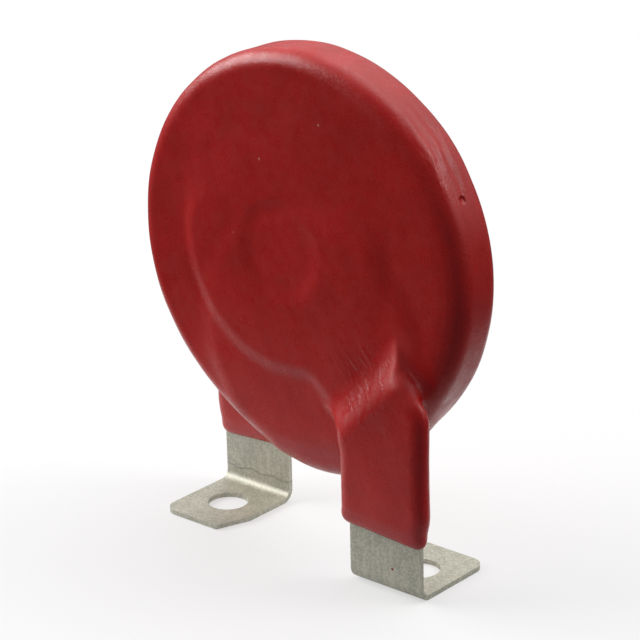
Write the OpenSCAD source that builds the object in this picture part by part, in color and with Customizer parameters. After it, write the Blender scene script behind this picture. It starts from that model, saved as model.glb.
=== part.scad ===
// Disc varistor with two strap terminals. A pressed ceramic disc carries a fired silver electrode on
// each face, and a tinned sheet terminal is soldered to each electrode. The disc and the upper legs
// are dipped in one coat of red epoxy. The rear half is the front half turned about the Z axis.
// Millimetres. X runs across the disc, Y through it with the front at -Y, and Z up from the feet.

/* [Ceramic disc] */
// Diameter of the pressed ceramic disc
ceramic_d = 37.6; // [34:0.2:44]
// Thickness of the ceramic disc
ceramic_t = 3.2; // [2:0.1:4.5]
// Rounding of the ceramic disc's edges
ceramic_edge_r = 0.4; // [0.1:0.1:0.8]
// Bare ceramic left outside each electrode
electrode_margin = 1.2; // [0.6:0.1:3]
// Thickness of a fired silver electrode
electrode_t = 0.02; // [0.01:0.01:0.05]
// Thickness of the solder under a terminal's plate
solder_t = 0.18; // [0.1:0.02:0.4]
// How far the solder spreads outside the plate
solder_foot = 0.5; // [0.2:0.1:1]
// How high the solder stands in the plate's middle hole, above the plate's underside
solder_button_t = 0.25; // [0.05:0.05:0.4]

/* [Terminals] */
// Thickness of the terminal sheet
sheet_t = 0.5; // [0.4:0.05:0.8]
// Inside radius of the two bends of the joggle
bend_r = 0.5; // [0.3:0.1:1]
// Inside radius of the bend between the leg and the foot
heel_r = 0.9; // [0.4:0.1:1.4]
// Diameter of the soldered plate
plate_d = 22.6; // [18:0.2:26]
// Diameter of the hole in the middle of the plate
plate_hole_d = 8; // [4:0.5:10]
// Sideways place of the plate's middle on the front of the disc
plate_x = -1.3; // [-2:0.1:0]
// Height of the plate's middle above the disc's middle
plate_rise = 0.5; // [0:0.1:2]
// Width of the slanting neck between the plate and the leg
neck_w = 10; // [8:0.2:11]
// Slope of the neck below the horizontal
neck_angle = 45; // [40:1:50]
// Radius in the corners between plate and neck
neck_fillet_r = 2; // [1:0.5:3]
// Distance along the neck from the plate's middle to the joggle
joggle_reach = 15.1; // [14:0.1:15.5]
// Slope of the joggle that steps the leg outwards
joggle_angle = 45; // [35:1:60]
// Distance between the outer faces of the two legs
leg_span = 10.4; // [9.6:0.1:11]
// Width of a leg
leg_w = 8.7; // [7.5:0.1:10]
// Length of a foot from the leg's outer face
foot_l = 10.3; // [9:0.1:13]
// Rounding of the foot's outer tip corner
foot_outer_r = 1.5; // [0.5:0.1:3]
// Width of the clipped inner tip corner, along the foot's end
foot_clip_w = 1.4; // [0.4:0.1:3]
// Length of the clipped inner tip corner, along the foot's side
foot_clip_l = 3.7; // [0.4:0.1:4.5]
// Diameter of the screw hole in a foot
foot_hole_d = 4.2; // [3.2:0.1:5.3]
// Distance between the two screw holes
hole_pitch = 25.4; // [24:0.1:28]
// Height of the disc's middle above the underside of the feet
disc_z = 30.8; // [28:0.1:36]

/* [Epoxy coat] */
// Thickness of the coat on the ceramic's flat faces
face_coat = 1.55; // [1.4:0.05:2]
// Thickness of the coat on the ceramic's rim
rim_coat = 1.5; // [1:0.1:2.5]
// Rounding of the coated rim
rim_r = 1.7; // [1:0.1:2.2]
// Height of the relief over a buried plate
relief_h = 0.4; // [0.2:0.05:0.6]
// How far the relief's edge lies outside the plate and the neck
relief_spread = 0.9; // [0.5:0.1:1.5]
// Radius of the arcs that blend the relief over the plate into the face
relief_r = 2; // [1.5:0.1:3]
// Radius of the rounded edge of the relief over the neck
neck_relief_r = 1.5; // [1:0.1:2]
// Depth of the dimple over the plate's hole
dimple_depth = 0.28; // [0.1:0.02:0.38]
// How far the dimple's edge lies outside the plate's hole
dimple_spread = 0.3; // [0:0.1:1]
// Thickness of the coat on the flat sides of the neck and the leg
leg_coat = 0.8; // [0.5:0.05:1.2]
// Thickness of the coat on the narrow edges of the neck and the leg
edge_coat = 1.05; // [0.8:0.05:1.5]
// Height of the coat's lower edge on the legs
coat_bottom = 5.7; // [4:0.1:8]
// Radius of the coat's nose round the leg, seen from the side
nose_r = 1.3; // [1.25:0.05:2]
// Radius of the coat's lower corners, seen from the front
corner_r = 1.2; // [0.5:0.1:2]
// How far the epoxy that pooled under the disc hangs below the round
pool_drop = 2.2; // [0.4:0.1:2.6]
// Radius of the pooled epoxy, seen from the front
pool_r = 12; // [8:0.5:14]
// Thickness of the pooled epoxy
pool_t = 5.3; // [4.8:0.1:5.8]
// Rounding of the pooled epoxy's edge
pool_edge_r = 2.1; // [1:0.1:2.3]

/* [Hidden] */
$fn = 96;

// Levels, measured outwards from the disc's middle plane
electrode_in = ceramic_t / 2;
solder_in = electrode_in + electrode_t;
plate_in = solder_in + solder_t;
plate_out = plate_in + sheet_t;
face_out = ceramic_t / 2 + face_coat;
leg_out = leg_span / 2;
leg_mid = leg_out - sheet_t / 2;
sleeve_out = leg_out + leg_coat;

// Sizes that follow from the ones above
heel_out_r = heel_r + sheet_t;
coat_r = ceramic_d / 2 + rim_coat;
leg_x = hole_pitch / 2;
bend_mid_r = bend_r + sheet_t / 2;
sleeve_t = sheet_t + 2 * leg_coat;
sleeve_r = sleeve_t / 2;
sleeve_w = leg_w + 2 * edge_coat;
neck_sleeve_w = neck_w + 2 * edge_coat;
web_r = coat_r - rim_r / 2;
arc_steps = 6; // how many flats stand for a bend of the joggle
bite = 0.03;   // how deep a blend's foot is set in, so that it meets the flat at an angle
root = 1;      // how deep a raised part is rooted in the coat under it
spare = 1;     // how far a cut runs past what it cuts
lap = 0.35;    // how far the sleeve reaches over the joggle's cover
inset = 0.15;  // how far the web's walls stand inside the sleeve's sides
solder_tuck = 0.1;  // how far the cone of the climbing solder would end inside the plate's edge

// The centres of the joggle's two bends, as distance along the neck and level
bend_out_r = bend_r + sheet_t;
ramp_l = (leg_out - plate_out - 2 * bend_mid_r * (1 - cos(joggle_angle))) / sin(joggle_angle);
crest_s = joggle_reach + 2 * bend_mid_r * sin(joggle_angle) + ramp_l * cos(joggle_angle);
crest_h = leg_out - bend_out_r;
crest_r = bend_out_r + leg_coat;
valley_h = plate_out + bend_r;

// Where the relief over the neck starts, outside the dimple and under the plate's own relief
neck_relief_s = (plate_hole_d / 2 + plate_d / 2) / 2 - root;

// Height of a neck's edge where it passes x, at the distance u across from the neck's middle line
function neck_edge_z(x, u) = disc_z + plate_rise
    - (x - plate_x - u * sin(neck_angle)) * tan(neck_angle) + u * cos(neck_angle);
// Point of the neck in the XZ plane, s along it from the plate's middle and u across it
function on_neck(s, u) = [
    plate_x + s * cos(neck_angle) + u * sin(neck_angle),
    disc_z + plate_rise - s * sin(neck_angle) + u * cos(neck_angle)
];

// Points of an arc about a centre, from one angle to another
function arc(centre, r, from, to) = [
    for (i = [0 : arc_steps]) let (a = from + (to - from) * i / arc_steps)
        centre + r * [cos(a), sin(a)]
];

// Drawn in the XZ plane from the middle plane outwards, for the front
module outwards(from, to) {
    translate([0, -from, 0]) rotate([90, 0, 0]) linear_extrude(to - from) children();
}

// Turned from the Z axis to the axis of the disc, at a level of the front
module on_disc(level) {
    translate([0, -level, disc_z]) rotate([90, 0, 0]) children();
}

// X along the neck from the plate's middle, Z across it and -Y outwards
module along_neck() {
    translate([plate_x, 0, disc_z + plate_rise]) rotate([0, neck_angle, 0]) children();
}

// A section, width across and height outwards, drawn out for a length along X
module drawn_along(length) {
    rotate([0, -90, 180]) linear_extrude(length) children();
}

// Half section of a round plate with rounded edges
module rounded_half(r, t, edge_r) {
    translate([0, -t / 2]) square([r - edge_r, t]);
    translate([0, edge_r - t / 2]) square([r, t - 2 * edge_r]);
    for (side = [-1, 1])
        translate([r - edge_r, side * (t / 2 - edge_r)]) circle(edge_r);
}

// Everything under a soft step that falls from height h to 0 at the distance edge
module soft_step(edge, h, r, depth) {
    half = r * sin(acos(1 - h / (2 * r)));
    difference() {
        difference() {
            translate([0, -depth]) square([edge + half, h + depth]);
            difference() {
                translate([edge - half, h / 2]) square([2 * half + spare, h]);
                translate([edge - half, h - r]) circle(r);
            }
        }
        intersection() {
            translate([edge, -spare]) square([half + spare, spare + 3 * h / 4]);
            translate([edge + half, r]) circle(r);
        }
    }
}

// Section of a low raised band of height h that meets the face at the distance edge
module round_band(edge, h, r, depth) {
    side = edge + r - sqrt(r * r - (r - h) * (r - h));
    difference() {
        translate([-side, -depth]) square([2 * side, h + depth]);
        for (turn = [0, 1]) mirror([turn, 0]) difference() {
            translate([side - r, h - r]) square([r + spare, r + spare]);
            translate([side - r, h - r]) circle(r);
        }
    }
}

// What a rounding takes off a corner at the origin that points to +X and +Y
module corner_waste(r) {
    difference() {
        translate([-r, -r]) square(r);
        translate([-r, -r]) circle(r);
    }
}

// Section of the coat round a flat strip, about the strip's middle
module sleeve_outline(w) {
    square([w - 2 * sleeve_r, sleeve_t], center = true);
    for (side = [-1, 1]) translate([side * (w / 2 - sleeve_r), 0]) circle(sleeve_r);
}

// The outer half of that section run on inwards, its top at height 0
module sleeve_section(w, depth) {
    difference() {
        translate([-w / 2, -depth]) square([w, depth]);
        translate([w / 2, 0]) corner_waste(sleeve_r);
        translate([-w / 2, 0]) mirror([1, 0]) corner_waste(sleeve_r);
    }
}

// Outline of the flat blank: plate with its hole, slanting neck and leg
module blank_outline() {
    left = leg_x - leg_w / 2;
    right = leg_x + leg_w / 2;
    difference() {
        union() {
            translate([plate_x, disc_z + plate_rise]) {
                circle(plate_d / 2);
                rotate(-neck_angle) for (side = [-1, 1]) neck_corner(side);
            }
            polygon([
                on_neck(0, -neck_w / 2),
                [left, neck_edge_z(left, -neck_w / 2)],
                [left, heel_out_r],
                [right, heel_out_r],
                [right, neck_edge_z(right, neck_w / 2)],
                on_neck(0, neck_w / 2)
            ]);
        }
        translate([plate_x, disc_z + plate_rise]) circle(plate_hole_d / 2);
    }
}

// Fillet in the corner between the plate and one edge of the neck
module neck_corner(side) {
    u = side * (neck_w / 2 + neck_fillet_r - bite);
    s = sqrt(pow(plate_d / 2 + neck_fillet_r - bite, 2) - u * u);
    difference() {
        polygon([[0, 0], [s, u], [s, 0]]);
        translate([s, u]) circle(neck_fillet_r);
    }
}

// Side view of the sheet from the plate over the joggle to the leg
module joggle_profile() {
    valley = [joggle_reach, valley_h];
    crest = [crest_s, crest_h];
    polygon(concat(
        [[-plate_d, plate_in]],
        arc(valley, bend_out_r, -90, joggle_angle - 90),
        arc(crest, bend_r, joggle_angle + 90, 90),
        [[crest_s + plate_d, leg_out - sheet_t], [crest_s + plate_d, leg_out]],
        arc(crest, bend_out_r, 90, joggle_angle + 90),
        arc(valley, bend_r, joggle_angle - 90, -90),
        [[-plate_d, plate_out]]
    ));
}

// The foot, flat on the ground, with its screw hole on the disc's middle plane
module foot() {
    tip = foot_l - leg_out;
    heel = heel_out_r - leg_out;
    difference() {
        translate([leg_x - leg_w / 2, heel, 0]) cube([leg_w, tip - heel, sheet_t]);
        translate([leg_x, 0, -spare]) cylinder(d = foot_hole_d, h = sheet_t + 2 * spare);
        translate([0, tip, -spare]) linear_extrude(sheet_t + 2 * spare) {
            translate([leg_x - leg_w / 2, 0]) clip_waste();
            translate([leg_x + leg_w / 2, 0]) corner_waste(foot_outer_r);
        }
    }
    translate([leg_x - leg_w / 2, heel, heel_out_r]) rotate([90, 0, 90])
        linear_extrude(leg_w) heel_section();
}

// What the clip takes off a foot's inner tip corner at the origin, run on past the corner
module clip_waste() {
    past = [foot_clip_w, foot_clip_l] * spare / foot_clip_l;
    polygon([
        [foot_clip_w + past[0], past[1]],
        [-past[0], -foot_clip_l - past[1]],
        [-foot_clip_l, -foot_clip_l - past[1]],
        [-foot_clip_l, past[1]]
    ]);
}

// Quarter of a ring of sheet between the leg and the foot
module heel_section() {
    intersection() {
        difference() {
            circle(heel_out_r);
            circle(heel_r);
        }
        translate([-heel_out_r, -heel_out_r]) square(heel_out_r);
    }
}

// The blank bent to its side view. Levels are counted from the leg's middle, because the slanting
// frame is rounded a little and the leg has to meet the foot without a step
module terminal_shape() {
    intersection() {
        outwards(0, leg_out + spare) blank_outline();
        translate([0, -leg_mid, 0]) along_neck() rotate([180, 0, 0])
            linear_extrude(3 * plate_d, center = true) translate([0, -leg_mid]) joggle_profile();
    }
    foot();
}

// The room that the solder and the plate's lower half take up together
module solder_room() {
    on_disc(solder_in) translate([plate_x, plate_rise, 0])
        cylinder(r1 = plate_d / 2 + solder_foot, r2 = plate_d / 2 - solder_tuck, h = solder_t + solder_button_t);
}

// The solder climbs the plate's edge and stands in its hole
module solder_shape() {
    difference() {
        solder_room();
        outwards(plate_in, plate_in + sheet_t) blank_outline();
    }
}

module ceramic_shape() {
    on_disc(0) rotate_extrude() rounded_half(ceramic_d / 2, ceramic_t, ceramic_edge_r);
}

module electrode_shape() {
    on_disc(electrode_in) cylinder(r = ceramic_d / 2 - electrode_margin, h = electrode_t);
}

// Relief of the buried plate, with the dimple over the plate's hole
module plate_relief() {
    on_disc(face_out) translate([plate_x, plate_rise, -bite]) rotate_extrude() difference() {
        soft_step(plate_d / 2 + relief_spread, relief_h + bite, relief_r, root);
        translate([0, relief_h + 2 * bite]) mirror([0, 1])
            soft_step(plate_hole_d / 2 + dimple_spread, dimple_depth + bite, relief_r, spare);
    }
}

// Relief of the buried neck, from the plate to the joggle
module neck_relief() {
    along_neck() translate([neck_relief_s, -face_out, 0]) drawn_along(crest_s - neck_relief_s)
        round_band(neck_w / 2 + relief_spread, relief_h, neck_relief_r, root);
}

// Everything under the coat's surface where the joggle's cover slopes by an angle
module cover_slope(angle) {
    along_neck() translate([crest_s, -crest_h, 0]) rotate([0, 0, -angle])
        translate([-plate_d / 2, bite - crest_r, 0]) drawn_along(plate_d)
            sleeve_section(neck_sleeve_w - 2 * bite, plate_d);
}

// The coat over the joggle: a ramp that turns in two steps into the coat on the upper neck
module joggle_cover() {
    intersection() {
        cover_slope(0);
        cover_slope(joggle_angle / 2);
        cover_slope(joggle_angle);
        along_neck() translate([crest_s + lap - joggle_reach / 2, root - face_out, -plate_d / 2])
            mirror([0, 1, 0]) cube([joggle_reach / 2, plate_d, plate_d]);
    }
}

// The round-edged coat on the leg and the upper neck
module leg_sleeve() {
    difference() {
        intersection() {
            translate([leg_x, -leg_mid, coat_bottom])
                linear_extrude(disc_z - coat_bottom) sleeve_outline(sleeve_w);
            along_neck() translate([crest_s - lap, -leg_mid, 0]) drawn_along(2 * coat_r)
                translate([neck_sleeve_w / 2 - coat_r, 0]) sleeve_outline(2 * coat_r);
        }
        nose_cut();
        corner_cut();
    }
}

// What is cut off the sleeve's lower end to round its nose
module nose_cut() {
    translate([leg_x - sleeve_w, -leg_mid, coat_bottom]) rotate([90, 0, 90])
        linear_extrude(2 * sleeve_w) difference() {
            translate([-sleeve_t, -spare]) square([2 * sleeve_t, nose_r + spare]);
            translate([0, nose_r]) circle(nose_r);
        }
}

// What is cut off the sleeve's lower corners, seen from the front
module corner_cut() {
    outwards(leg_mid - sleeve_t, leg_mid + sleeve_t) translate([leg_x, coat_bottom])
        for (side = [0, 1]) mirror([side, 0]) translate([sleeve_w / 2, 0]) mirror([0, 1])
            corner_waste(corner_r);
}

// The coat that fills the space between the sleeve and the disc's face
module web() {
    neck_half = neck_sleeve_w / 2 - inset;
    leg_left = leg_x - sleeve_w / 2 + inset;
    leg_right = leg_x + sleeve_w / 2 - inset;
    outwards(face_out - root, leg_mid) intersection() {
        translate([0, disc_z]) circle(web_r);
        polygon([
            on_neck(crest_s - root, -neck_half),
            [leg_left, neck_edge_z(leg_left, -neck_half)],
            [leg_left, coat_bottom],
            [leg_right, coat_bottom],
            [leg_right, neck_edge_z(leg_right, neck_half)],
            on_neck(crest_s - root, neck_half)
        ]);
    }
}

module disc_coat() {
    on_disc(0) rotate_extrude() rounded_half(coat_r, 2 * face_out, rim_r);
}

// The thicker bottom of the disc's coat, where the epoxy pooled
module pool() {
    translate([0, 0, pool_r - pool_drop - coat_r]) on_disc(0)
        rotate_extrude() rounded_half(pool_r, pool_t, pool_edge_r);
}

module coat_shape() {
    disc_coat();
    both_sides() joggle_cover();
    both_sides() web();
    both_sides() leg_sleeve();
    both_sides() plate_relief();
    both_sides() neck_relief();
    pool();
}

module turned() {
    rotate([0, 0, 180]) children();
}

module both_sides() {
    children();
    turned() children();
}

module epoxy_coating() {
    color("firebrick") difference() {
        difference() {
            difference() {
                coat_shape();
                ceramic_shape();
            }
            both_sides() {
                electrode_shape();
                solder_room();
            }
        }
        both_sides() terminal_shape();
    }
}

module ceramic_disc() { color("dimgray") ceramic_shape(); }

module front_electrode() { color("gainsboro") electrode_shape(); }
module rear_electrode() { color("gainsboro") turned() electrode_shape(); }
module front_solder() { color("lightgray") solder_shape(); }
module rear_solder() { color("lightgray") turned() solder_shape(); }
module front_terminal() { color("silver") terminal_shape(); }
module rear_terminal() { color("silver") turned() terminal_shape(); }

epoxy_coating();
ceramic_disc();
front_electrode();
rear_electrode();
front_solder();
rear_solder();
front_terminal();
rear_terminal();
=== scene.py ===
import math

import bpy
import numpy as np
from mathutils import Matrix, Vector


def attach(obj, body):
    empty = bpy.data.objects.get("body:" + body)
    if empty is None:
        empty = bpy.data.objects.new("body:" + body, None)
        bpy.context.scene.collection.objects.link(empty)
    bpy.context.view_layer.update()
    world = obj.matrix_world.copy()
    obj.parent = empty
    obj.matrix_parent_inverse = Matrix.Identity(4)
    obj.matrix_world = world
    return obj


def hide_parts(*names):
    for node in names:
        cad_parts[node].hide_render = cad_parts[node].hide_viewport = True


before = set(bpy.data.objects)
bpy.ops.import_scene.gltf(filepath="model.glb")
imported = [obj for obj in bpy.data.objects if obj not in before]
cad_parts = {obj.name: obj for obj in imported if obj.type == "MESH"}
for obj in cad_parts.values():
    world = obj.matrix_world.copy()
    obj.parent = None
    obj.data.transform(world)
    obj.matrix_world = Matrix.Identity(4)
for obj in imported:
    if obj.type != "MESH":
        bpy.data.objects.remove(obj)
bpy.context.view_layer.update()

mm = 0.001
rootHalf = math.sqrt(0.5)


# shader helpers
class Value:  # one socket that takes part in sums
    def __init__(self, finish, socket):
        self.finish = finish
        self.socket = socket

    def sums(self, operation, first, second):
        return self.finish.node("ShaderNodeMath", {"operation": operation}, {0: first, 1: second})

    def __add__(self, other):
        return self.sums("ADD", self, other)

    def __sub__(self, other):
        return self.sums("SUBTRACT", self, other)

    def __rsub__(self, other):
        return self.sums("SUBTRACT", other, self)

    def __mul__(self, other):
        return self.sums("MULTIPLY", self, other)

    def __truediv__(self, other):
        return self.sums("DIVIDE", self, other)

    __radd__ = __add__
    __rmul__ = __mul__


class Finish:  # one material or world and its nodes
    def __init__(self, name, owner=None):
        self.owner = owner or bpy.data.materials.new(name)
        self.owner.use_nodes = True
        self.tree = self.owner.node_tree
        self.tree.nodes.clear()

    def node(self, kind, settings=None, inputs=None, output=0):
        made = self.tree.nodes.new(kind)
        for key, value in (settings or {}).items():
            setattr(made, key, value)
        for key, value in (inputs or {}).items():
            if isinstance(value, Value):
                self.tree.links.new(value.socket, made.inputs[key])
            else:
                made.inputs[key].default_value = value
        return Value(self, made.outputs[output]) if made.outputs else made

    def place(self):  # where a point is on the part, in metres
        return self.node("ShaderNodeTexCoord", output="Object")

    def noise(self, place, scale, detail=2.0, rough=0.5, warp=0.0):
        return self.node("ShaderNodeTexNoise", None,
                         {"Vector": place, "Scale": scale, "Detail": detail,
                          "Roughness": rough, "Distortion": warp})

    def stretch(self, place, sizes):
        return self.node("ShaderNodeMapping", None, {"Vector": place, "Scale": sizes})

    def fade(self, value, low, high, start=0.0, end=1.0):  # soft step of a value
        return self.node("ShaderNodeMapRange", {"interpolation_type": "SMOOTHSTEP"},
                         {"Value": value, "From Min": low, "From Max": high,
                          "To Min": start, "To Max": end})

    def near(self, point, inner, outer):  # 1 close to a point of the part, 0 away from it
        gap = self.node("ShaderNodeVectorMath", {"operation": "DISTANCE"},
                        {0: self.place(), 1: [value * mm for value in point]}, output="Value")
        return self.fade(gap, inner * mm, outer * mm, 1.0, 0.0)

    def streaks(self, scale, turn, longer):  # noise drawn out along a slope across the face
        along = self.node("ShaderNodeMapping", {"vector_type": "TEXTURE"},
                          {"Vector": self.place(), "Rotation": (0, math.radians(turn), 0),
                           "Scale": (longer, 1, 1)})
        return self.noise(along, scale, 3, 0.55)

    def mix(self, amount, first, second):
        return self.node("ShaderNodeMix", {"data_type": "RGBA"},
                         {0: amount, 6: first, 7: second}, output=2)

    def bump(self, height, relief, under=None):  # relief is a strength and a depth in millimetres
        strength, depth = relief
        inputs = {"Height": height, "Strength": strength, "Distance": depth * mm}
        if under is not None:
            inputs["Normal"] = under
        return self.node("ShaderNodeBump", None, inputs)

    def surface(self, tone, rough, relief, **others):
        sockets = {"Base Color": tone, "Roughness": rough, "Normal": relief}
        sockets.update(others)
        shader = self.node("ShaderNodeBsdfPrincipled", None, sockets)
        self.node("ShaderNodeOutputMaterial", None, {"Surface": shader})
        return self.owner


# camera
print("camera")
cameraView = {
    "azimuth": 41.254, "elevation": 20.87, "roll": -1.389,  # degrees
    "distance": 256.674 * mm,
    "focus": 2626.979, "picture": 640,  # pixels
    "sensor": 36,
    "aim": (0.436 * mm, 23.546 * mm),  # across the view and up
    "clip": (0.01, 20),
}


def towards(azimuth, elevation):  # azimuth 0 is the front, 90 the right
    a, e = math.radians(azimuth), math.radians(elevation)
    return Vector((math.sin(a) * math.cos(e), -math.cos(a) * math.cos(e), math.sin(e)))


def makeCamera(view):
    azimuth = math.radians(view["azimuth"])
    roll = math.radians(view["roll"])
    back = towards(view["azimuth"], view["elevation"])
    across, high = view["aim"]
    target = Vector((across * math.cos(azimuth), across * math.sin(azimuth), high))
    flatRight = (-back).cross(Vector((0, 0, 1))).normalized()
    flatUp = flatRight.cross(-back)
    right = flatRight * math.cos(roll) + flatUp * math.sin(roll)
    up = flatUp * math.cos(roll) - flatRight * math.sin(roll)
    lens = bpy.data.cameras.new("camera")
    lens.sensor_width = view["sensor"]
    lens.lens = view["focus"] / view["picture"] * view["sensor"]
    lens.clip_start, lens.clip_end = view["clip"]
    camera = bpy.data.objects.new("camera", lens)
    turn = Matrix((right, up, back)).transposed()
    camera.matrix_world = Matrix.Translation(target + back * view["distance"]) @ turn.to_4x4()
    bpy.context.scene.collection.objects.link(camera)
    bpy.context.scene.camera = camera


makeCamera(cameraView)
bpy.context.scene.view_settings.view_transform = "Standard"


# epoxy coat
print("epoxy coat")
coatShape = {  # millimetres and degrees, as in the part's source
    # the round, its rim and the slight fall of its right shoulder
    "radius": 20.35, "halfThick": 3.15, "rimRound": 1.75, "middle": 30.8, "dome": 0.0001,
    "shoulder": (17.1, 19.0), "shoulderDrop": 0.055, "shoulderSide": (-2, 9),
    # the relief of the buried plate and neck, with softer edges at the right and above
    "plateX": -1.3, "plateUp": 0.5, "plateRadius": 11.3, "neckLeft": 5.0,
    "reliefHeight": 0.4, "reliefSpread": 0.9,
    "fadeNarrow": 1.9, "fadeWide": 3.2, "wideFrom": (-0.2, 0.8), "wideLean": 0.4,
    "fadeTop": 9.0, "topFrom": (0.1, 0.9), "neckStart": 6, "neckFade": (2.0, 11.0),
    "dimpleRadius": 4.5, "dimpleFade": 2.2, "dimpleDepth": 0.34,
    # the cover of the joggle, the leg's sleeve and its thin lower lip
    "rampStart": 14.9, "strapTop": 6.0, "strapThick": 2.1, "rampBlend": 1.1, "slopeFade": 0.6,
    "coatLeft": 5.85, "leftCorner": 1.2, "coatRight": 5.6, "rightCorner": 1.0,
    "legMiddle": 12.7, "legLeft": 7.22, "legRight": 18.05, "legTaper": 0.55, "taperReach": 4,
    "legBottom": 5.78, "bottomTilt": 0.055, "lipThin": 0.3, "lipReach": 2.2,
    "edgeRound": 1.7, "cornerRound": 1.2, "lipRound": 0.9, "lipRoundFrom": (0.3, 2.0),
    "sharper": 1.45, "sharperFrom": (-0.5, 2.5),
    "webRadius": 19.4, "webBlend": 1.0, "rootLevel": 0.5,
    "strapBlend": 1.1, "flankBlend": 0.8, "flankAcross": (3, 6), "flankAlong": 3,
    # the epoxy that pooled between the legs
    "poolRadius": 14.0, "poolBottom": 8.4, "poolShift": 1.9, "poolLevel": 0.95, "poolHalf": 2.0,
    "poolRound": 2.0, "poolBlend": 1.6,
    # thicker spots: middle, reach and height
    "swells": [((1.5, 0.0, 51.15), 1.6, 0.2), ((-3.0, -2.9, 9.6), 1.3, 0.12),
               ((16.0, 0.5, 43.5), 2.2, 0.1)],
    # the uneven flow of the epoxy, and the runs that froze along the rim
    "lumpHeight": 0.006, "lumpWaves": 14, "lumpLength": (3.5, 11), "lumpSeed": 11,
    "rippleMiddle": 51, "rippleSpread": 14, "rippleWide": 1.35, "rippleHeight": 0.06,
    "rippleDepth": 2.4, "rippleRim": (18.6, 19.8),
    "rippleWander": [(0.25, 9, 0), (0.12, 31, 1)],  # size, turns and slant of each
    "cell": 0.25,
}


def softMin(a, b, k):
    h = np.maximum(k - np.abs(a - b), 0) / k
    return np.minimum(a, b) - h * h * k / 4


def softMax(a, b, k):
    return -softMin(-a, -b, k)


def softStep(low, high, value):
    t = np.clip((value - low) / (high - low), 0, 1)
    return t * t * (3 - 2 * t)


def roundedPlate(r, level, radius, half, corner):  # distance to a round plate with rounded edges
    a = r - (radius - corner)
    b = level - (half - corner)
    inside = np.minimum(np.maximum(a, b), 0)
    return inside + np.hypot(np.maximum(a, 0), np.maximum(b, 0)) - corner


def neckPlace(c, x, z):  # along and across the slanting neck
    dx = x - c["plateX"]
    dz = z - c["middle"] - c["plateUp"]
    return (dx - dz) * rootHalf, (dx + dz) * rootHalf


def reliefHeight(c, x, z):
    along, across = neckPlace(c, x, z)
    plate = np.hypot(along, across)
    wide = softStep(*c["wideFrom"], (across + c["wideLean"] * np.abs(along)) / c["plateRadius"])
    fade = c["fadeNarrow"] + (c["fadeWide"] - c["fadeNarrow"]) * wide
    top = softStep(*c["topFrom"], (across - along) * rootHalf / np.maximum(plate, 1))
    fade = fade + c["fadeTop"] * top
    middle = c["plateRadius"] + c["reliefSpread"]
    onPlate = 1 - softStep(middle - fade / 2, middle + fade / 2, plate)
    left = c["neckLeft"] + c["reliefSpread"]
    fade = c["fadeNarrow"] / 2
    onNeck = (1 - softStep(left - fade, left + fade, -across)) * softStep(0, c["neckStart"], along)
    onNeck = onNeck * (1 - softStep(*c["neckFade"], across))
    wall = c["dimpleRadius"]
    fade = c["dimpleFade"] / 2
    dimple = 1 - softStep(wall - fade, wall + fade, plate)
    return c["reliefHeight"] * (onPlate + onNeck - onPlate * onNeck) - c["dimpleDepth"] * dimple


def strapDistance(c, x, level, z):
    along, across = neckPlace(c, x, z)
    bottom = c["legBottom"] - c["bottomTilt"] * (x - c["legMiddle"])
    lip = c["lipThin"] * (1 - softStep(0, c["lipReach"], z - bottom))
    ramp = c["halfThick"] + c["reliefHeight"] + along - c["rampStart"]
    top = softMin(ramp, c["strapTop"] - lip, c["rampBlend"])
    slope = 1 - (1 - rootHalf) * softStep(-c["slopeFade"], c["slopeFade"], c["strapTop"] - ramp)
    left = softMin(c["legLeft"] - x, -c["coatLeft"] - across, c["leftCorner"])
    taper = c["legTaper"] * (1 - softStep(0, c["taperReach"], z - bottom))
    right = softMax(x - c["legRight"] + taper, across - c["coatRight"], c["rightCorner"])
    outline = softMax(right, left, c["cornerRound"])
    outline = softMax(outline, bottom - z, c["cornerRound"])
    rounder = softStep(*c["lipRoundFrom"], z - bottom)
    edge = c["lipRound"] + (c["edgeRound"] - c["lipRound"]) * rounder
    edge = edge - c["sharper"] * softStep(*c["sharperFrom"], c["strapTop"] - ramp)
    body = softMax(outline, (level - top) * slope, edge)
    under = softMin(c["strapTop"] - c["strapThick"] + lip - level,
                    np.hypot(x, z - c["middle"]) - c["webRadius"], c["webBlend"])
    body = softMax(body, under, edge)
    return np.maximum(body, c["rootLevel"] - level)


def poolDistance(c, x, y, z):  # two shifted halves, each half a turn from the other
    middle = c["poolBottom"] + c["poolRadius"]
    halves = [roundedPlate(np.hypot(x * turn - c["poolShift"], z - middle),
                           np.abs(-y * turn - c["poolLevel"]), c["poolRadius"], c["poolHalf"],
                           c["poolRound"]) for turn in (1, -1)]
    return softMin(halves[0], halves[1], c["poolBlend"])


def coatDistance(c, x, y, z):
    side = np.where(y < 0, 1.0, -1.0)
    level = np.abs(y)
    r = np.hypot(x, z - c["middle"])
    half = c["halfThick"] + reliefHeight(c, x * side, z) - c["dome"] * r ** 2
    start, end = c["shoulder"]
    fall = c["shoulderDrop"] * softStep(*c["shoulderSide"], x * side)
    half = half - fall * (np.clip(r, start, end) - start) ** 2
    shape = roundedPlate(r, level, c["radius"], half, c["rimRound"])
    shape = softMin(shape, poolDistance(c, x, y, z), c["poolBlend"])
    for turn in (1, -1):
        along, across = neckPlace(c, x * turn, z)
        flank = softStep(*c["flankAcross"], np.abs(across))
        flank = flank * softStep(0, c["flankAlong"], along - c["rampStart"])
        blend = c["strapBlend"] + (c["flankBlend"] - c["strapBlend"]) * flank
        shape = softMin(shape, strapDistance(c, x * turn, -y * turn, z), blend)
    for (px, py, pz), reach, height in c["swells"]:
        gap = ((x - px) ** 2 + (y - py) ** 2 + (z - pz) ** 2) / reach ** 2
        shape = shape - height * np.exp(-gap)
    return shape + lumps(c, x, y, z) + ripples(c, x, y, z)


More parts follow.
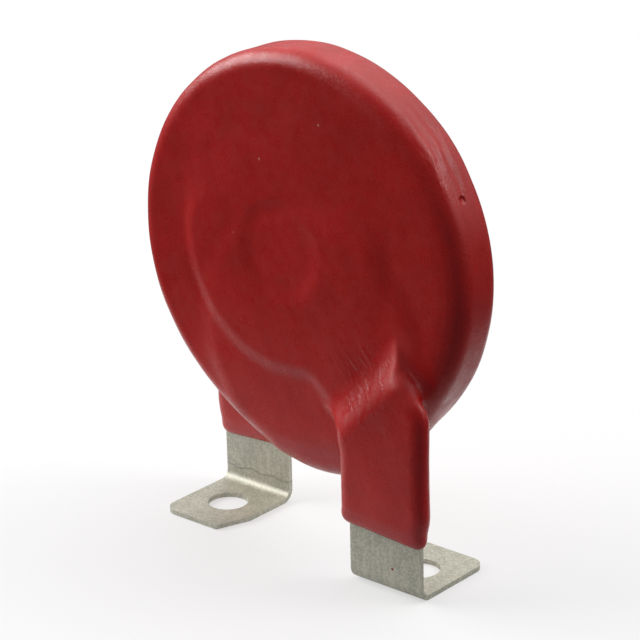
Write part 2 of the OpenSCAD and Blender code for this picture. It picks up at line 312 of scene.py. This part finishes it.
def lumps(c, x, y, z):  # a few long waves in mixed directions
    source = np.random.default_rng(c["lumpSeed"])
    total = 0
    for _ in range(c["lumpWaves"]):
        way = source.normal(size=3)
        way /= np.linalg.norm(way)
        turns = 2 * math.pi / source.uniform(*c["lumpLength"])
        along = way[0] * x + way[1] * y + way[2] * z
        total = total + np.sin(turns * along + source.uniform(0, 6))
    return total * c["lumpHeight"]


def ripples(c, x, y, z):  # low waves side by side that wander along the rim
    angle = np.arctan2(x, z - c["middle"]) - math.radians(c["rippleMiddle"])
    spread = math.radians(c["rippleSpread"])
    reach = np.exp(-(angle / spread) ** 2 - (y / c["rippleDepth"]) ** 2)
    rim = softStep(*c["rippleRim"], np.hypot(x, z - c["middle"]))
    wander = sum(size * np.sin(angle * turns + y * slant)
                 for size, turns, slant in c["rippleWander"])
    return c["rippleHeight"] * reach * rim * np.sin(2 * math.pi * (y + wander) / c["rippleWide"])


def netSurface(distance, low, high, cell):  # closed quads round the zero of a distance
    axes = [np.arange(a - 2 * cell, b + 2 * cell, cell) for a, b in zip(low, high)]
    grid = np.meshgrid(*axes, indexing="ij")
    field = distance(*(g.ravel() for g in grid)).reshape(grid[0].shape)
    inside = field < 0
    total = np.zeros(tuple(n - 1 for n in field.shape) + (3,))
    count = np.zeros(tuple(n - 1 for n in field.shape))
    crossings = []
    for axis in range(3):
        ahead = [slice(None)] * 3
        behind = [slice(None)] * 3
        ahead[axis] = slice(1, None)
        behind[axis] = slice(None, -1)
        ahead, behind = tuple(ahead), tuple(behind)
        crossed = inside[ahead] != inside[behind]
        places = np.argwhere(crossed)
        a = field[behind][crossed]
        b = field[ahead][crossed]
        points = places.astype(float)
        points[:, axis] += a / (a - b)
        crossings.append((axis, places, inside[behind][crossed]))
        others = [n for n in range(3) if n != axis]
        for i in (0, 1):
            for j in (0, 1):
                cellOf = places.copy()
                cellOf[:, others[0]] -= i
                cellOf[:, others[1]] -= j
                good = ((cellOf >= 0) & (cellOf < np.array(count.shape))).all(axis=1)
                key = tuple(cellOf[good].T)
                np.add.at(total, key, points[good])
                np.add.at(count, key, 1)
    used = count > 0
    index = np.full(count.shape, -1)
    index[used] = np.arange(used.sum())
    verts = total[used] / count[used][:, None] * cell + np.array([a[0] for a in axes])
    faces = []
    for axis, places, wasInside in crossings:
        u, v = (axis + 1) % 3, (axis + 2) % 3
        corners = []
        for i, j in ((0, 0), (1, 0), (1, 1), (0, 1)):
            cellOf = places.copy()
            cellOf[:, u] -= i
            cellOf[:, v] -= j
            corners.append(index[tuple(cellOf.T)])
        quads = np.stack(corners, axis=1)
        quads[~wasInside] = quads[~wasInside][:, ::-1]
        faces.append(quads)
    return verts, np.concatenate(faces)


def slopeOf(distance, points, step=0.02):
    out = np.empty_like(points)
    for axis in range(3):
        shift = np.zeros(3)
        shift[axis] = step
        out[:, axis] = (distance(*(points + shift).T) - distance(*(points - shift).T)) / (2 * step)
    return out


def settle(distance, points, rounds=4):  # moves net points onto the surface
    for _ in range(rounds):
        slope = slopeOf(distance, points)
        points = points - slope * (distance(*points.T) / (slope ** 2).sum(axis=1))[:, None]
    slope = slopeOf(distance, points)
    return points, slope / np.linalg.norm(slope, axis=1)[:, None]


def makeMesh(name, verts, faces, finish):
    mesh = bpy.data.meshes.new(name)
    mesh.vertices.add(len(verts))
    mesh.vertices.foreach_set("co", (verts * mm).astype(np.float32).ravel())
    mesh.loops.add(faces.size)
    mesh.loops.foreach_set("vertex_index", faces.astype(np.int32).ravel())
    mesh.polygons.add(len(faces))
    mesh.polygons.foreach_set("loop_start", np.arange(len(faces), dtype=np.int32) * faces.shape[1])
    mesh.polygons.foreach_set("use_smooth", np.ones(len(faces), dtype=bool))
    mesh.update(calc_edges=True)
    mesh.validate()
    mesh.materials.append(finish)
    piece = bpy.data.objects.new(name, mesh)
    bpy.context.scene.collection.objects.link(piece)
    return piece


epoxyFinish = {  # places and depths in millimetres, slopes in degrees
    "deep": (0.44, 0.0055, 0.005, 1), "pale": (0.53, 0.009, 0.008, 1),
    # the ramp tone is painted shade: a darker red that holds down the light the ramp catches
    "ramp": (0.38, 0.004, 0.004, 1), "speck": (0.62, 0.25, 0.20, 1),
    # noises: scale, detail and roughness
    "cloud": (160, 3, 0.55), "grain": (6500, 2, 0.6), "peel": (800, 2, 0.5),
    # drawn-out noises: scale, slope and stretch
    "runs": (700, 60, 3.5), "creases": (1500, 4.0),
    "toneFrom": (0.36, 0.64), "creaseFrom": (0.48, 0.72),
    "roughFrom": (0.3, 0.7), "rough": (0.25, 0.37), "dull": 0.3, "smoother": 0.07,
    # bumps: strength and depth
    "peelBump": (0.42, 0.12), "creaseBump": (0.4, 0.06), "grainBump": (0.7, 0.04),
    "holeBump": (1.0, -0.25), "speckRise": 0.15,
    # middle, inner and outer reach, slope of the creases
    "wrinkled": [((10.4, -4.9, 20.2), 3.0, 6.5, 45), ((16.6, 0.4, 43.0), 2.0, 6.0, 52)],
    "rampReach": (1.5, 6.0),
    "specks": [(3.8, -3.2, 44.8), (-7.2, -3.5, 32.1), (-3.6, -3.5, 40.2), (5.0, -3.5, 34.2),
               (18.2, -3, 23.7)],
    "speckReach": (0.05, 0.16),
    "pinhole": (18.4, -0.2, 39.6), "holeReach": (0.12, 0.5),
    "matt": [(14.0, -4.4, 25.6), (14.2, -4.9, 24.6), (14.4, -5.5, 23.4), (16.4, -5.9, 21.6)],
    "mattReach": (0.4, 2.2),
}


def makeEpoxy(f):
    finish = Finish("dippedRedEpoxy")
    place = finish.place()
    cloud = finish.noise(place, *f["cloud"])
    grain = finish.noise(place, *f["grain"])
    peel = finish.noise(place, *f["peel"])
    runs = finish.streaks(*f["runs"])
    mixed = cloud * 0.5 + grain * 0.3 + runs * 0.2
    tone = finish.mix(finish.fade(mixed, *f["toneFrom"]), f["deep"], f["pale"])
    creases = 0
    scale, longer = f["creases"]
    for middle, inner, outer, slope in f["wrinkled"]:
        here = finish.near(middle, inner, outer)
        lines = finish.streaks(scale, slope, longer)
        creases = creases + here * finish.fade(lines, *f["creaseFrom"])
    # painted shade on the ramp: its tone is darker there, and the same area is made smoother
    rampShadeArea = finish.near(f["wrinkled"][0][0], *f["rampReach"])
    tone = finish.mix(rampShadeArea, tone, f["ramp"])
    specks = 0
    for middle in f["specks"]:
        specks = specks + finish.near(middle, *f["speckReach"])
    tone = finish.mix(specks, tone, f["speck"])
    hole = finish.near(f["pinhole"], *f["holeReach"])
    matt = 0
    for middle in f["matt"]:
        matt = matt + finish.near(middle, *f["mattReach"])
    rough = finish.fade(peel, *f["roughFrom"], *f["rough"])
    rough = rough + matt * f["dull"] - rampShadeArea * f["smoother"]
    relief = finish.bump(peel * 0.35 + runs * 0.65, f["peelBump"])
    relief = finish.bump(creases, f["creaseBump"], relief)
    relief = finish.bump(grain, f["grainBump"], relief)
    relief = finish.bump(hole - specks * f["speckRise"], f["holeBump"], relief)
    return finish.surface(tone, rough, relief, IOR=1.5)


def makeCoat(c):
    def distance(x, y, z):
        return coatDistance(c, x, y, z)

    low = (-c["radius"] - 1, -c["strapTop"] - 0.5, c["legBottom"] - 0.8)  # with room for swells
    high = (c["radius"] + 1, c["strapTop"] + 0.5, c["middle"] + c["radius"] + 0.8)
    verts, faces = netSurface(distance, low, high, c["cell"])
    verts, normals = settle(distance, verts)
    coat = makeMesh("dippedCoat", verts, faces, makeEpoxy(epoxyFinish))
    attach(coat, "root")
    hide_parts("epoxy_coating")
    print("coat quads", len(faces))


makeCoat(coatShape)


# terminals
print("terminals")
tinFinish = {  # places and depths in millimetres
    "dark": (0.40, 0.40, 0.33, 1), "light": (0.62, 0.605, 0.505, 1), "metal": 0.6,
    "grain": (4200, 2, 0.6), "mottle": (900, 3, 0.6), "drawn": (1900, 2, 0.5), "drawnThin": 0.12,
    "mixedFrom": (0.38, 0.62), "rough": (0.42, 0.58),
    "grainBump": (0.4, 0.02), "drawnBump": (0.3, 0.03),
    # a faint scribed line low on the rear leg, and a speck of the coat on the front one
    "scribe": (0.22, 0.215, 0.19, 1), "scribeHeight": 2.1, "scribeWander": (350, 2, 0.5),
    "scribeSwing": 1.6, "scribeWide": 0.025, "scribeFaint": 0.5,
    "red": (0.30, 0.02, 0.015, 1), "redSpeck": (13.6, -5.2, 2.7), "redReach": (0.08, 0.2),
}


def makeTin(f):
    finish = Finish("dullTinnedSheet")
    place = finish.place()
    grain = finish.noise(place, *f["grain"])
    mottle = finish.noise(place, *f["mottle"])
    drawn = finish.noise(finish.stretch(place, (1, 1, f["drawnThin"])), *f["drawn"])
    mixed = grain * 0.55 + mottle * 0.25 + drawn * 0.2
    tone = finish.mix(finish.fade(mixed, *f["mixedFrom"]), f["dark"], f["light"])
    up = finish.node("ShaderNodeSeparateXYZ", None, {0: place}, output="Z")
    back = finish.node("ShaderNodeSeparateXYZ", None, {0: place}, output="Y")
    wander = finish.noise(finish.stretch(place, (1, 0, 0)), *f["scribeWander"])
    gap = up / mm - f["scribeHeight"] - (wander - 0.5) * f["scribeSwing"]
    line = finish.fade(gap * gap, 0.0, f["scribeWide"], f["scribeFaint"], 0.0)
    line = line * finish.fade(back, 0, 1 * mm)
    tone = finish.mix(line, tone, f["scribe"])
    tone = finish.mix(finish.near(f["redSpeck"], *f["redReach"]), tone, f["red"])
    rough = finish.fade(mixed, *f["mixedFrom"], *f["rough"])
    relief = finish.bump(grain, f["grainBump"])
    relief = finish.bump(drawn, f["drawnBump"], relief)
    return finish.surface(tone, rough, relief, Metallic=f["metal"])


def dress(names, finish):
    for name in names:
        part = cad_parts[name]
        part.data.materials.clear()
        part.data.materials.append(finish)


dress(("front_terminal", "rear_terminal"), makeTin(tinFinish))


# inner pieces
print("inner pieces")
ceramicFinish = {  # pressed and sintered zinc oxide
    "body": (0.045, 0.046, 0.050, 1), "grain": (0.115, 0.118, 0.125, 1),
    "pore": (0.015, 0.015, 0.017, 1),
    "cloud": (700, 4, 0.6), "cloudFrom": (0.35, 0.65), "cloudBump": (0.3, 0.03),
    "pits": (3200, 1, 0.4), "pitsFrom": (0.62, 0.72), "pitsBump": (0.5, -0.03),
    "roughFrom": (0.3, 0.7), "rough": (0.62, 0.8),
}
silverFinish = {  # printed and fired silver, with the weave of the screen
    "bright": (0.78, 0.76, 0.70, 1), "dull": (0.52, 0.50, 0.45, 1), "metal": 0.9,
    "cloud": (500, 4, 0.6), "cloudFrom": (0.35, 0.65), "cloudBump": (0.3, 0.02),
    "weave": {"Scale": 900.0, "Distortion": 0.6, "Detail": 1.0}, "weaveBump": (0.3, 0.01),
    "roughFrom": (0.3, 0.7), "rough": (0.38, 0.55),
}
solderFinish = {  # frozen solder, with soft flow marks
    "bright": (0.62, 0.62, 0.60, 1), "dull": (0.36, 0.36, 0.35, 1), "metal": 0.9,
    "flow": (420, 3, 0.5, 1.2), "flowBump": (0.5, 0.08),
    "grain": (3500, 2, 0.6), "grainBump": (0.2, 0.01),
    "mixedFrom": (0.38, 0.62), "rough": (0.42, 0.24),
}


def makeCeramic(f):
    finish = Finish("sinteredOxide")
    place = finish.place()
    cloud = finish.noise(place, *f["cloud"])
    pits = finish.noise(place, *f["pits"])
    tone = finish.mix(finish.fade(cloud, *f["cloudFrom"]), f["body"], f["grain"])
    tone = finish.mix(finish.fade(pits, *f["pitsFrom"]), tone, f["pore"])
    rough = finish.fade(cloud, *f["roughFrom"], *f["rough"])
    relief = finish.bump(pits, f["pitsBump"])
    relief = finish.bump(cloud, f["cloudBump"], relief)
    return finish.surface(tone, rough, relief)


def makeSilver(f):
    finish = Finish("firedSilver")
    place = finish.place()
    cloud = finish.noise(place, *f["cloud"])
    weave = [finish.node("ShaderNodeTexWave", {"bands_direction": way},
                         {"Vector": place, **f["weave"]}, output="Fac")
             for way in ("X", "Z")]
    tone = finish.mix(finish.fade(cloud, *f["cloudFrom"]), f["bright"], f["dull"])
    rough = finish.fade(cloud, *f["roughFrom"], *f["rough"])
    relief = finish.bump(weave[0] * weave[1], f["weaveBump"])
    relief = finish.bump(cloud, f["cloudBump"], relief)
    return finish.surface(tone, rough, relief, Metallic=f["metal"])


def makeSolder(f):
    finish = Finish("frozenSolder")
    place = finish.place()
    flow = finish.noise(place, *f["flow"])
    grain = finish.noise(place, *f["grain"])
    mixed = flow * 0.7 + grain * 0.3
    tone = finish.mix(finish.fade(mixed, *f["mixedFrom"]), f["dull"], f["bright"])
    rough = finish.fade(mixed, *f["mixedFrom"], *f["rough"])
    relief = finish.bump(flow, f["flowBump"])
    relief = finish.bump(grain, f["grainBump"], relief)
    return finish.surface(tone, rough, relief, Metallic=f["metal"])


dress(("ceramic_disc",), makeCeramic(ceramicFinish))
dress(("front_electrode", "rear_electrode"), makeSilver(silverFinish))
dress(("front_solder", "rear_solder"), makeSolder(solderFinish))


# floor and light
print("floor and light")
studio = {
    "floorSize": 3.0, "floorUnder": 0.03 * mm,  # just below the feet
    # the floor carries a painted pool of light: pale round a spot beside the part and dark farther
    # off, as bounced light and mirrored rays see it; the camera sees the floor pale
    "floorNear": (0.80, 0.80, 0.80, 1), "floorFarShade": (0.10, 0.10, 0.10, 1),
    "paintedPoolMiddle": (-18 * mm, 22 * mm), "paintedPoolFade": (14 * mm, 70 * mm),
    "shadow": 0.55,  # how white the shadowed floor looks to the camera
    "darkSide": (30, 12), "darkFade": (0.25, 0.65),  # azimuth and elevation of the unlit side
    "skyFrom": (-0.1, 0.8, 0.12, 1.0),  # lowest and highest level, and how open it is there
    "skyLow": 0.15, "skyHigh": 0.88,
    "white": (1, 1, 1, 1),
    "lampAim": 25 * mm,
    "lamps": [  # name, azimuth, elevation, distance, width, height, radiance
        ("leftBox", -70, 29, 0.6, 0.52, 0.34, 5.4),
        ("topBox", 180, 67, 0.6, 0.60, 0.50, 1.15),
        ("backBox", 127, 39, 0.6, 0.20, 0.18, 5.2),
    ],
}


def raysSeeing(finish, share):  # all camera rays, and a share of the mirrored and refracted ones
    def larger(first, second):
        return finish.node("ShaderNodeMath", {"operation": "MAXIMUM"}, {0: first, 1: second})
    camera, glossy, passed = (finish.node("ShaderNodeLightPath", output="Is %s Ray" % kind)
                              for kind in ("Camera", "Glossy", "Transmission"))
    return larger(camera, larger(glossy, passed) * share)


def makeFloor(s):
    finish = Finish("paleFloor")
    offset = finish.node("ShaderNodeVectorMath", {"operation": "SUBTRACT"},
                         {0: finish.place(), 1: s["paintedPoolMiddle"] + (0,)})
    reach = finish.node("ShaderNodeVectorMath", {"operation": "LENGTH"}, {0: offset},
                        output="Value")
    # painted pool of light: the tone fades from pale near the spot to dark far off
    away = finish.fade(reach, *s["paintedPoolFade"])
    tone = finish.mix(away, s["floorNear"], s["floorFarShade"])
    seen = raysSeeing(finish, 1 - away)
    lit = finish.node("ShaderNodeBsdfDiffuse", None, {"Color": tone})
    pale = finish.node("ShaderNodeBsdfDiffuse", None, {"Color": s["floorNear"]})
    white = finish.node("ShaderNodeEmission", None, {"Color": s["white"], "Strength": 1.0})
    shown = finish.node("ShaderNodeMixShader", None, {0: s["shadow"], 1: pale, 2: white})
    both = finish.node("ShaderNodeMixShader", None, {0: seen, 1: lit, 2: shown})
    finish.node("ShaderNodeOutputMaterial", None, {"Surface": both})
    half = s["floorSize"] / 2
    corners = [(-half, -half), (half, -half), (half, half), (-half, half)]
    verts = np.array([(x, y, -s["floorUnder"]) for x, y in corners]) / mm
    floor = makeMesh("floor", verts, np.array([[0, 1, 2, 3]]), finish.owner)


def makeSky(s):
    world = bpy.data.worlds.new("studio")
    bpy.context.scene.world = world
    sky = Finish("studio", world)
    way = sky.node("ShaderNodeTexCoord", output="Generated")
    across = sky.node("ShaderNodeVectorMath", {"operation": "DOT_PRODUCT"},
                      {0: way, 1: towards(*s["darkSide"])}, output="Value")
    level = sky.node("ShaderNodeSeparateXYZ", None, {0: way}, output="Z")
    clear = sky.fade(across, *s["darkFade"], 1.0, 0.0) * sky.fade(level, *s["skyFrom"])
    seen = raysSeeing(sky, clear)
    low, high, white = (
        sky.node("ShaderNodeBackground", None, {"Color": s["white"], "Strength": light})
        for light in (s["skyLow"], s["skyHigh"], 1.0))
    soft = sky.node("ShaderNodeMixShader", None, {0: clear, 1: low, 2: high})
    both = sky.node("ShaderNodeMixShader", None, {0: seen, 1: soft, 2: white})
    sky.node("ShaderNodeOutputWorld", None, {"Surface": both})


def makeLamps(s):
    middle = Vector((0, 0, s["lampAim"]))
    for name, azimuth, elevation, distance, width, height, radiance in s["lamps"]:
        lamp = bpy.data.lights.new(name, "AREA")
        lamp.shape = "RECTANGLE"
        lamp.size = width
        lamp.size_y = height
        lamp.energy = radiance * math.pi * width * height
        holder = bpy.data.objects.new(name, lamp)
        away = towards(azimuth, elevation)
        holder.matrix_world = Matrix.Translation(middle + away * distance) @ (
            away.to_track_quat("Z", "Y").to_matrix().to_4x4())
        bpy.context.scene.collection.objects.link(holder)


makeFloor(studio)
makeSky(studio)
makeLamps(studio)
